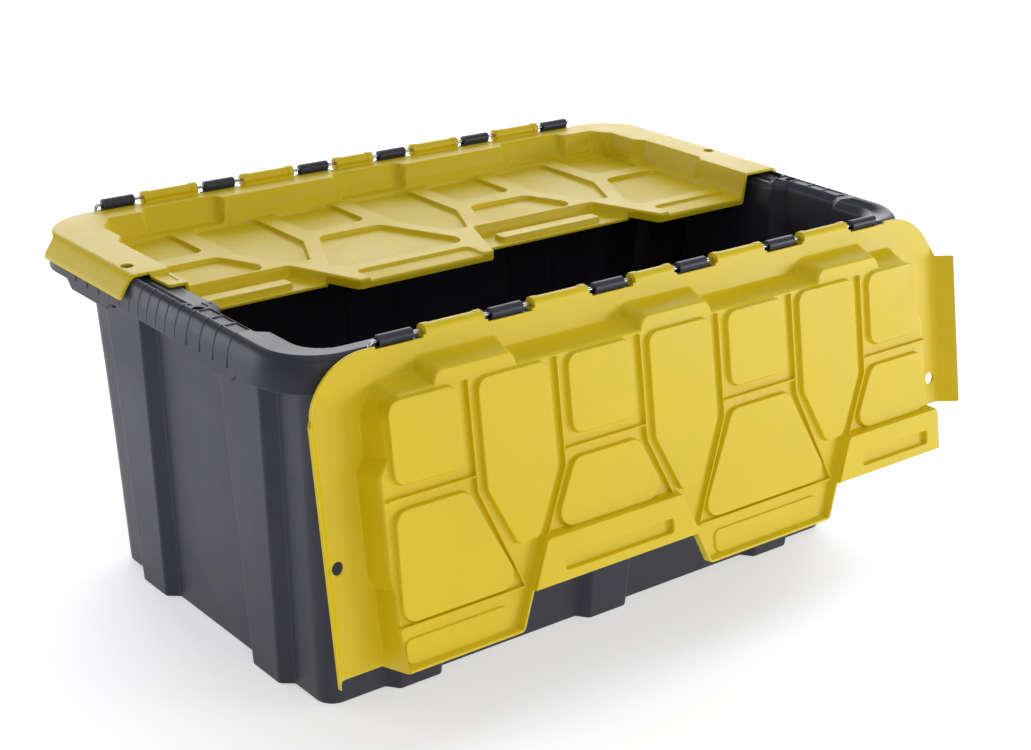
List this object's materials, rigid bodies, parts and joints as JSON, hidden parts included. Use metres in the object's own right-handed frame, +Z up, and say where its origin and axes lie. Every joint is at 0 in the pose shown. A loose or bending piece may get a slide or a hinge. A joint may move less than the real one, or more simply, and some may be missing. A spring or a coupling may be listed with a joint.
{
  "type": "flip lid storage tote",
  "caption": "Deep tapered storage tote with two hinged lids whose teeth interlock along the middle; lids swing out and hang down the long sides",
  "frame": {"origin": "centre of the tote's underside, on the surface it stands on", "axes": "+X along the tote's long side, -Y the front with the open lid, +Z up"},
  "size_m": [0.66, 0.4881, 0.3133],
  "materials": {
    "tote_plastic": "satin moulded polypropylene, near black",
    "lid_plastic": "satin moulded polypropylene, yellow",
    "rod_steel": "bright zinc-plated wire"
  },
  "bodies": {
    "tote": {"tote": "tote_plastic", "front_hinge_rod": "rod_steel", "rear_hinge_rod": "rod_steel"},
    "front_lid": {"front_lid": "lid_plastic"},
    "rear_lid": {"rear_lid": "lid_plastic"}
  },
  "joints": [
    {"name": "front_lid_hinge", "type": "hinge", "parent": "tote", "child": "front_lid", "pos_m": [0, -0.205, 0.308], "axis": [1, 0, 0], "range_deg": [-260, 0]},
    {"name": "rear_lid_hinge", "type": "hinge", "parent": "tote", "child": "rear_lid", "pos_m": [0, 0.205, 0.308], "axis": [-1, 0, 0], "range_deg": [0, 260]}
  ]
}
